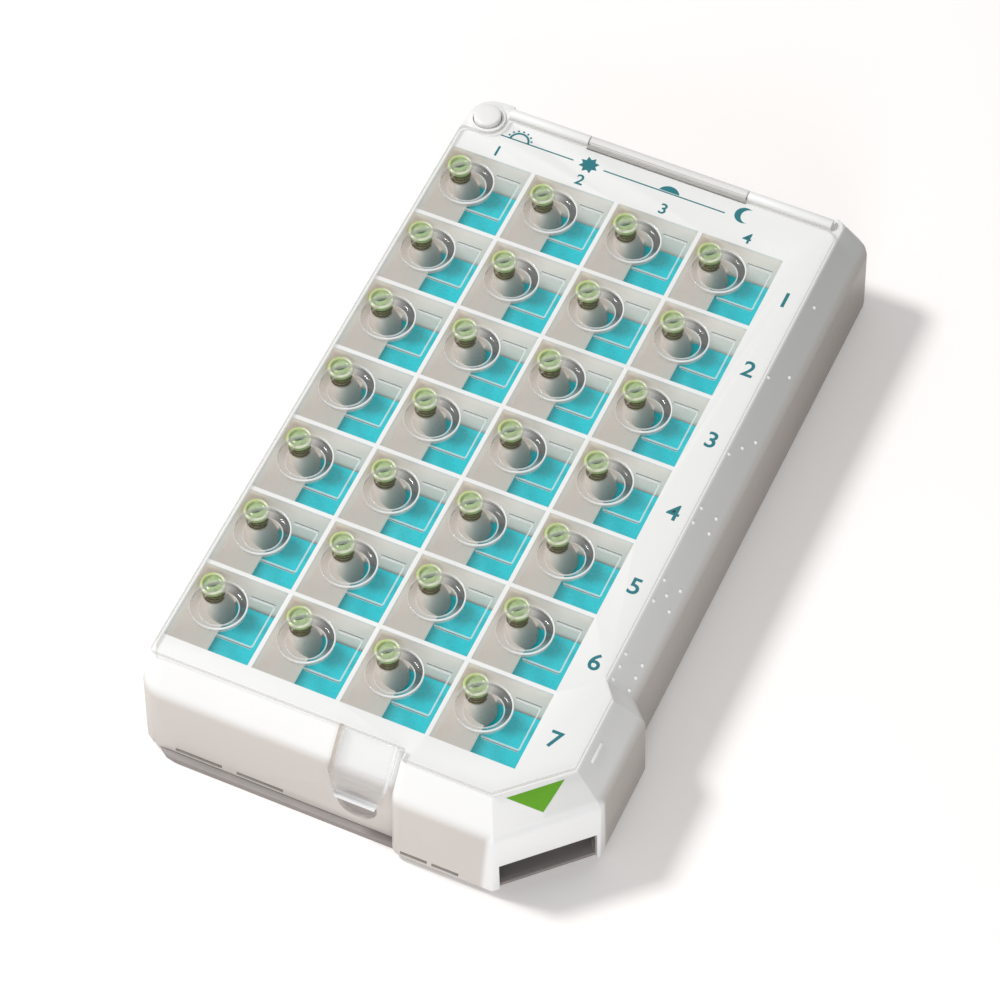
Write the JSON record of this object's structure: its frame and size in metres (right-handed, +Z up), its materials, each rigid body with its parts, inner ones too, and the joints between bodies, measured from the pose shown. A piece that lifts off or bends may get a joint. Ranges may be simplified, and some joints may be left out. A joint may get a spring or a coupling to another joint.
{
  "type": "weekly pill organizer",
  "caption": "Flat pill box with a grid of push-button compartments under a clear hinged lid, each emptying to a tray and a corner outlet.",
  "frame": {"origin": "middle of the bounding box, on the table plane", "axes": "+X to the outlet side, +Y from the latch at the front to the lid hinge at the back, +Z up"},
  "size_m": [0.1234, 0.2152, 0.0354],
  "materials": {
    "white_plastic": "satin moulded white plastic",
    "tray_plastic": "matte moulded dark grey plastic",
    "clear_plastic": "clear polished plastic",
    "white_button_plastic": "gloss moulded white plastic",
    "green_plastic": "translucent green plastic",
    "teal_plastic": "matte moulded teal plastic"
  },
  "bodies": {
    "box": {"casing": "white_plastic", "base_tray": "tray_plastic"},
    "lid": {"lid": "clear_plastic"},
    "corner_button": {"corner_button": "white_button_plastic"},
    "button_r1c1": {"button_r1c1": "green_plastic"},
    "button_r1c2": {"button_r1c2": "green_plastic"},
    "button_r1c3": {"button_r1c3": "green_plastic"},
    "button_r1c4": {"button_r1c4": "green_plastic"},
    "button_r2c1": {"button_r2c1": "green_plastic"},
    "button_r2c2": {"button_r2c2": "green_plastic"},
    "button_r2c3": {"button_r2c3": "green_plastic"},
    "button_r2c4": {"button_r2c4": "green_plastic"},
    "button_r3c1": {"button_r3c1": "green_plastic"},
    "button_r3c2": {"button_r3c2": "green_plastic"},
    "button_r3c3": {"button_r3c3": "green_plastic"},
    "button_r3c4": {"button_r3c4": "green_plastic"},
    "button_r4c1": {"button_r4c1": "green_plastic"},
    "button_r4c2": {"button_r4c2": "green_plastic"},
    "button_r4c3": {"button_r4c3": "green_plastic"},
    "button_r4c4": {"button_r4c4": "green_plastic"},
    "button_r5c1": {"button_r5c1": "green_plastic"},
    "button_r5c2": {"button_r5c2": "green_plastic"},
    "button_r5c3": {"button_r5c3": "green_plastic"},
    "button_r5c4": {"button_r5c4": "green_plastic"},
    "button_r6c1": {"button_r6c1": "green_plastic"},
    "button_r6c2": {"button_r6c2": "green_plastic"},
    "button_r6c3": {"button_r6c3": "green_plastic"},
    "button_r6c4": {"button_r6c4": "green_plastic"},
    "button_r7c1": {"button_r7c1": "green_plastic"},
    "button_r7c2": {"button_r7c2": "green_plastic"},
    "button_r7c3": {"button_r7c3": "green_plastic"},
    "button_r7c4": {"button_r7c4": "green_plastic"},
    "flap_r1c1": {"flap_r1c1": "teal_plastic"},
    "flap_r1c2": {"flap_r1c2": "teal_plastic"},
    "flap_r1c3": {"flap_r1c3": "teal_plastic"},
    "flap_r1c4": {"flap_r1c4": "teal_plastic"},
    "flap_r2c1": {"flap_r2c1": "teal_plastic"},
    "flap_r2c2": {"flap_r2c2": "teal_plastic"},
    "flap_r2c3": {"flap_r2c3": "teal_plastic"},
    "flap_r2c4": {"flap_r2c4": "teal_plastic"},
    "flap_r3c1": {"flap_r3c1": "teal_plastic"},
    "flap_r3c2": {"flap_r3c2": "teal_plastic"},
    "flap_r3c3": {"flap_r3c3": "teal_plastic"},
    "flap_r3c4": {"flap_r3c4": "teal_plastic"},
    "flap_r4c1": {"flap_r4c1": "teal_plastic"},
    "flap_r4c2": {"flap_r4c2": "teal_plastic"},
    "flap_r4c3": {"flap_r4c3": "teal_plastic"},
    "flap_r4c4": {"flap_r4c4": "teal_plastic"},
    "flap_r5c1": {"flap_r5c1": "teal_plastic"},
    "flap_r5c2": {"flap_r5c2": "teal_plastic"},
    "flap_r5c3": {"flap_r5c3": "teal_plastic"},
    "flap_r5c4": {"flap_r5c4": "teal_plastic"},
    "flap_r6c1": {"flap_r6c1": "teal_plastic"},
    "flap_r6c2": {"flap_r6c2": "teal_plastic"},
    "flap_r6c3": {"flap_r6c3": "teal_plastic"},
    "flap_r6c4": {"flap_r6c4": "teal_plastic"},
    "flap_r7c1": {"flap_r7c1": "teal_plastic"},
    "flap_r7c2": {"flap_r7c2": "teal_plastic"},
    "flap_r7c3": {"flap_r7c3": "teal_plastic"},
    "flap_r7c4": {"flap_r7c4": "teal_plastic"}
  },
  "joints": [
    {"name": "lid_hinge", "type": "hinge", "parent": "box", "child": "lid", "pos_m": [0, 0.1022, 0.0334], "axis": [-1, 0, 0], "range_deg": [0, 105]},
    {"name": "corner_button_slide", "type": "slide", "parent": "box", "child": "corner_button", "axis": [0, 0, -1], "range_m": [0, 0.0015], "stiffness_N_per_m": 60, "springref_m": -0.001},
    {"name": "button_r1c1_slide", "type": "slide", "parent": "box", "child": "button_r1c1", "axis": [0, 0, -1], "range_m": [0, 0.002], "stiffness_N_per_m": 120, "springref_m": -0.0015},
    {"name": "button_r1c2_slide", "type": "slide", "parent": "box", "child": "button_r1c2", "axis": [0, 0, -1], "range_m": [0, 0.002], "stiffness_N_per_m": 120, "springref_m": -0.0015},
    {"name": "button_r1c3_slide", "type": "slide", "parent": "box", "child": "button_r1c3", "axis": [0, 0, -1], "range_m": [0, 0.002], "stiffness_N_per_m": 120, "springref_m": -0.0015},
    {"name": "button_r1c4_slide", "type": "slide", "parent": "box", "child": "button_r1c4", "axis": [0, 0, -1], "range_m": [0, 0.002], "stiffness_N_per_m": 120, "springref_m": -0.0015},
    {"name": "button_r2c1_slide", "type": "slide", "parent": "box", "child": "button_r2c1", "axis": [0, 0, -1], "range_m": [0, 0.002], "stiffness_N_per_m": 120, "springref_m": -0.0015},
    {"name": "button_r2c2_slide", "type": "slide", "parent": "box", "child": "button_r2c2", "axis": [0, 0, -1], "range_m": [0, 0.002], "stiffness_N_per_m": 120, "springref_m": -0.0015},
    {"name": "button_r2c3_slide", "type": "slide", "parent": "box", "child": "button_r2c3", "axis": [0, 0, -1], "range_m": [0, 0.002], "stiffness_N_per_m": 120, "springref_m": -0.0015},
    {"name": "button_r2c4_slide", "type": "slide", "parent": "box", "child": "button_r2c4", "axis": [0, 0, -1], "range_m": [0, 0.002], "stiffness_N_per_m": 120, "springref_m": -0.0015},
    {"name": "button_r3c1_slide", "type": "slide", "parent": "box", "child": "button_r3c1", "axis": [0, 0, -1], "range_m": [0, 0.002], "stiffness_N_per_m": 120, "springref_m": -0.0015},
    {"name": "button_r3c2_slide", "type": "slide", "parent": "box", "child": "button_r3c2", "axis": [0, 0, -1], "range_m": [0, 0.002], "stiffness_N_per_m": 120, "springref_m": -0.0015},
    {"name": "button_r3c3_slide", "type": "slide", "parent": "box", "child": "button_r3c3", "axis": [0, 0, -1], "range_m": [0, 0.002], "stiffness_N_per_m": 120, "springref_m": -0.0015},
    {"name": "button_r3c4_slide", "type": "slide", "parent": "box", "child": "button_r3c4", "axis": [0, 0, -1], "range_m": [0, 0.002], "stiffness_N_per_m": 120, "springref_m": -0.0015},
    {"name": "button_r4c1_slide", "type": "slide", "parent": "box", "child": "button_r4c1", "axis": [0, 0, -1], "range_m": [0, 0.002], "stiffness_N_per_m": 120, "springref_m": -0.0015},
    {"name": "button_r4c2_slide", "type": "slide", "parent": "box", "child": "button_r4c2", "axis": [0, 0, -1], "range_m": [0, 0.002], "stiffness_N_per_m": 120, "springref_m": -0.0015},
    {"name": "button_r4c3_slide", "type": "slide", "parent": "box", "child": "button_r4c3", "axis": [0, 0, -1], "range_m": [0, 0.002], "stiffness_N_per_m": 120, "springref_m": -0.0015},
    {"name": "button_r4c4_slide", "type": "slide", "parent": "box", "child": "button_r4c4", "axis": [0, 0, -1], "range_m": [0, 0.002], "stiffness_N_per_m": 120, "springref_m": -0.0015},
    {"name": "button_r5c1_slide", "type": "slide", "parent": "box", "child": "button_r5c1", "axis": [0, 0, -1], "range_m": [0, 0.002], "stiffness_N_per_m": 120, "springref_m": -0.0015},
    {"name": "button_r5c2_slide", "type": "slide", "parent": "box", "child": "button_r5c2", "axis": [0, 0, -1], "range_m": [0, 0.002], "stiffness_N_per_m": 120, "springref_m": -0.0015},
    {"name": "button_r5c3_slide", "type": "slide", "parent": "box", "child": "button_r5c3", "axis": [0, 0, -1], "range_m": [0, 0.002], "stiffness_N_per_m": 120, "springref_m": -0.0015},
    {"name": "button_r5c4_slide", "type": "slide", "parent": "box", "child": "button_r5c4", "axis": [0, 0, -1], "range_m": [0, 0.002], "stiffness_N_per_m": 120, "springref_m": -0.0015},
    {"name": "button_r6c1_slide", "type": "slide", "parent": "box", "child": "button_r6c1", "axis": [0, 0, -1], "range_m": [0, 0.002], "stiffness_N_per_m": 120, "springref_m": -0.0015},
    {"name": "button_r6c2_slide", "type": "slide", "parent": "box", "child": "button_r6c2", "axis": [0, 0, -1], "range_m": [0, 0.002], "stiffness_N_per_m": 120, "springref_m": -0.0015},
    {"name": "button_r6c3_slide", "type": "slide", "parent": "box", "child": "button_r6c3", "axis": [0, 0, -1], "range_m": [0, 0.002], "stiffness_N_per_m": 120, "springref_m": -0.0015},
    {"name": "button_r6c4_slide", "type": "slide", "parent": "box", "child": "button_r6c4", "axis": [0, 0, -1], "range_m": [0, 0.002], "stiffness_N_per_m": 120, "springref_m": -0.0015},
    {"name": "button_r7c1_slide", "type": "slide", "parent": "box", "child": "button_r7c1", "axis": [0, 0, -1], "range_m": [0, 0.002], "stiffness_N_per_m": 120, "springref_m": -0.0015},
    {"name": "button_r7c2_slide", "type": "slide", "parent": "box", "child": "button_r7c2", "axis": [0, 0, -1], "range_m": [0, 0.002], "stiffness_N_per_m": 120, "springref_m": -0.0015},
    {"name": "button_r7c3_slide", "type": "slide", "parent": "box", "child": "button_r7c3", "axis": [0, 0, -1], "range_m": [0, 0.002], "stiffness_N_per_m": 120, "springref_m": -0.0015},
    {"name": "button_r7c4_slide", "type": "slide", "parent": "box", "child": "button_r7c4", "axis": [0, 0, -1], "range_m": [0, 0.002], "stiffness_N_per_m": 120, "springref_m": -0.0015},
    {"name": "flap_r1c1_hinge", "type": "hinge", "parent": "box", "child": "flap_r1c1", "pos_m": [-0.0472, 0.08465, 0.0188], "axis": [1, 0, 0], "range_deg": [0, 30]},
    {"name": "flap_r1c2_hinge", "type": "hinge", "parent": "box", "child": "flap_r1c2", "pos_m": [-0.0224, 0.08465, 0.0188], "axis": [1, 0, 0], "range_deg": [0, 30]},
    {"name": "flap_r1c3_hinge", "type": "hinge", "parent": "box", "child": "flap_r1c3", "pos_m": [0.0024, 0.08465, 0.0188], "axis": [1, 0, 0], "range_deg": [0, 30]},
    {"name": "flap_r1c4_hinge", "type": "hinge", "parent": "box", "child": "flap_r1c4", "pos_m": [0.0272, 0.08465, 0.0188], "axis": [1, 0, 0], "range_deg": [0, 30]},
    {"name": "flap_r2c1_hinge", "type": "hinge", "parent": "box", "child": "flap_r2c1", "pos_m": [-0.0472, 0.05945, 0.0188], "axis": [1, 0, 0], "range_deg": [0, 30]},
    {"name": "flap_r2c2_hinge", "type": "hinge", "parent": "box", "child": "flap_r2c2", "pos_m": [-0.0224, 0.05945, 0.0188], "axis": [1, 0, 0], "range_deg": [0, 30]},
    {"name": "flap_r2c3_hinge", "type": "hinge", "parent": "box", "child": "flap_r2c3", "pos_m": [0.0024, 0.05945, 0.0188], "axis": [1, 0, 0], "range_deg": [0, 30]},
    {"name": "flap_r2c4_hinge", "type": "hinge", "parent": "box", "child": "flap_r2c4", "pos_m": [0.0272, 0.05945, 0.0188], "axis": [1, 0, 0], "range_deg": [0, 30]},
    {"name": "flap_r3c1_hinge", "type": "hinge", "parent": "box", "child": "flap_r3c1", "pos_m": [-0.0472, 0.03425, 0.0188], "axis": [1, 0, 0], "range_deg": [0, 30]},
    {"name": "flap_r3c2_hinge", "type": "hinge", "parent": "box", "child": "flap_r3c2", "pos_m": [-0.0224, 0.03425, 0.0188], "axis": [1, 0, 0], "range_deg": [0, 30]},
    {"name": "flap_r3c3_hinge", "type": "hinge", "parent": "box", "child": "flap_r3c3", "pos_m": [0.0024, 0.03425, 0.0188], "axis": [1, 0, 0], "range_deg": [0, 30]},
    {"name": "flap_r3c4_hinge", "type": "hinge", "parent": "box", "child": "flap_r3c4", "pos_m": [0.0272, 0.03425, 0.0188], "axis": [1, 0, 0], "range_deg": [0, 30]},
    {"name": "flap_r4c1_hinge", "type": "hinge", "parent": "box", "child": "flap_r4c1", "pos_m": [-0.0472, 0.00905, 0.0188], "axis": [1, 0, 0], "range_deg": [0, 30]},
    {"name": "flap_r4c2_hinge", "type": "hinge", "parent": "box", "child": "flap_r4c2", "pos_m": [-0.0224, 0.00905, 0.0188], "axis": [1, 0, 0], "range_deg": [0, 30]},
    {"name": "flap_r4c3_hinge", "type": "hinge", "parent": "box", "child": "flap_r4c3", "pos_m": [0.0024, 0.00905, 0.0188], "axis": [1, 0, 0], "range_deg": [0, 30]},
    {"name": "flap_r4c4_hinge", "type": "hinge", "parent": "box", "child": "flap_r4c4", "pos_m": [0.0272, 0.00905, 0.0188], "axis": [1, 0, 0], "range_deg": [0, 30]},
    {"name": "flap_r5c1_hinge", "type": "hinge", "parent": "box", "child": "flap_r5c1", "pos_m": [-0.0472, -0.01615, 0.0188], "axis": [1, 0, 0], "range_deg": [0, 30]},
    {"name": "flap_r5c2_hinge", "type": "hinge", "parent": "box", "child": "flap_r5c2", "pos_m": [-0.0224, -0.01615, 0.0188], "axis": [1, 0, 0], "range_deg": [0, 30]},
    {"name": "flap_r5c3_hinge", "type": "hinge", "parent": "box", "child": "flap_r5c3", "pos_m": [0.0024, -0.01615, 0.0188], "axis": [1, 0, 0], "range_deg": [0, 30]},
    {"name": "flap_r5c4_hinge", "type": "hinge", "parent": "box", "child": "flap_r5c4", "pos_m": [0.0272, -0.01615, 0.0188], "axis": [1, 0, 0], "range_deg": [0, 30]},
    {"name": "flap_r6c1_hinge", "type": "hinge", "parent": "box", "child": "flap_r6c1", "pos_m": [-0.0472, -0.04135, 0.0188], "axis": [1, 0, 0], "range_deg": [0, 30]},
    {"name": "flap_r6c2_hinge", "type": "hinge", "parent": "box", "child": "flap_r6c2", "pos_m": [-0.0224, -0.04135, 0.0188], "axis": [1, 0, 0], "range_deg": [0, 30]},
    {"name": "flap_r6c3_hinge", "type": "hinge", "parent": "box", "child": "flap_r6c3", "pos_m": [0.0024, -0.04135, 0.0188], "axis": [1, 0, 0], "range_deg": [0, 30]},
    {"name": "flap_r6c4_hinge", "type": "hinge", "parent": "box", "child": "flap_r6c4", "pos_m": [0.0272, -0.04135, 0.0188], "axis": [1, 0, 0], "range_deg": [0, 30]},
    {"name": "flap_r7c1_hinge", "type": "hinge", "parent": "box", "child": "flap_r7c1", "pos_m": [-0.0472, -0.06655, 0.0188], "axis": [1, 0, 0], "range_deg": [0, 30]},
    {"name": "flap_r7c2_hinge", "type": "hinge", "parent": "box", "child": "flap_r7c2", "pos_m": [-0.0224, -0.06655, 0.0188], "axis": [1, 0, 0], "range_deg": [0, 30]},
    {"name": "flap_r7c3_hinge", "type": "hinge", "parent": "box", "child": "flap_r7c3", "pos_m": [0.0024, -0.06655, 0.0188], "axis": [1, 0, 0], "range_deg": [0, 30]},
    {"name": "flap_r7c4_hinge", "type": "hinge", "parent": "box", "child": "flap_r7c4", "pos_m": [0.0272, -0.06655, 0.0188], "axis": [1, 0, 0], "range_deg": [0, 30]}
  ],
  "couplings": [
    {"joint": "flap_r1c1_hinge", "follows": "button_r1c1_slide", "rad_per_m": 260},
    {"joint": "flap_r1c2_hinge", "follows": "button_r1c2_slide", "rad_per_m": 260},
    {"joint": "flap_r1c3_hinge", "follows": "button_r1c3_slide", "rad_per_m": 260},
    {"joint": "flap_r1c4_hinge", "follows": "button_r1c4_slide", "rad_per_m": 260},
    {"joint": "flap_r2c1_hinge", "follows": "button_r2c1_slide", "rad_per_m": 260},
    {"joint": "flap_r2c2_hinge", "follows": "button_r2c2_slide", "rad_per_m": 260},
    {"joint": "flap_r2c3_hinge", "follows": "button_r2c3_slide", "rad_per_m": 260},
    {"joint": "flap_r2c4_hinge", "follows": "button_r2c4_slide", "rad_per_m": 260},
    {"joint": "flap_r3c1_hinge", "follows": "button_r3c1_slide", "rad_per_m": 260},
    {"joint": "flap_r3c2_hinge", "follows": "button_r3c2_slide", "rad_per_m": 260},
    {"joint": "flap_r3c3_hinge", "follows": "button_r3c3_slide", "rad_per_m": 260},
    {"joint": "flap_r3c4_hinge", "follows": "button_r3c4_slide", "rad_per_m": 260},
    {"joint": "flap_r4c1_hinge", "follows": "button_r4c1_slide", "rad_per_m": 260},
    {"joint": "flap_r4c2_hinge", "follows": "button_r4c2_slide", "rad_per_m": 260},
    {"joint": "flap_r4c3_hinge", "follows": "button_r4c3_slide", "rad_per_m": 260},
    {"joint": "flap_r4c4_hinge", "follows": "button_r4c4_slide", "rad_per_m": 260},
    {"joint": "flap_r5c1_hinge", "follows": "button_r5c1_slide", "rad_per_m": 260},
    {"joint": "flap_r5c2_hinge", "follows": "button_r5c2_slide", "rad_per_m": 260},
    {"joint": "flap_r5c3_hinge", "follows": "button_r5c3_slide", "rad_per_m": 260},
    {"joint": "flap_r5c4_hinge", "follows": "button_r5c4_slide", "rad_per_m": 260},
    {"joint": "flap_r6c1_hinge", "follows": "button_r6c1_slide", "rad_per_m": 260},
    {"joint": "flap_r6c2_hinge", "follows": "button_r6c2_slide", "rad_per_m": 260},
    {"joint": "flap_r6c3_hinge", "follows": "button_r6c3_slide", "rad_per_m": 260},
    {"joint": "flap_r6c4_hinge", "follows": "button_r6c4_slide", "rad_per_m": 260},
    {"joint": "flap_r7c1_hinge", "follows": "button_r7c1_slide", "rad_per_m": 260},
    {"joint": "flap_r7c2_hinge", "follows": "button_r7c2_slide", "rad_per_m": 260},
    {"joint": "flap_r7c3_hinge", "follows": "button_r7c3_slide", "rad_per_m": 260},
    {"joint": "flap_r7c4_hinge", "follows": "button_r7c4_slide", "rad_per_m": 260}
  ]
}
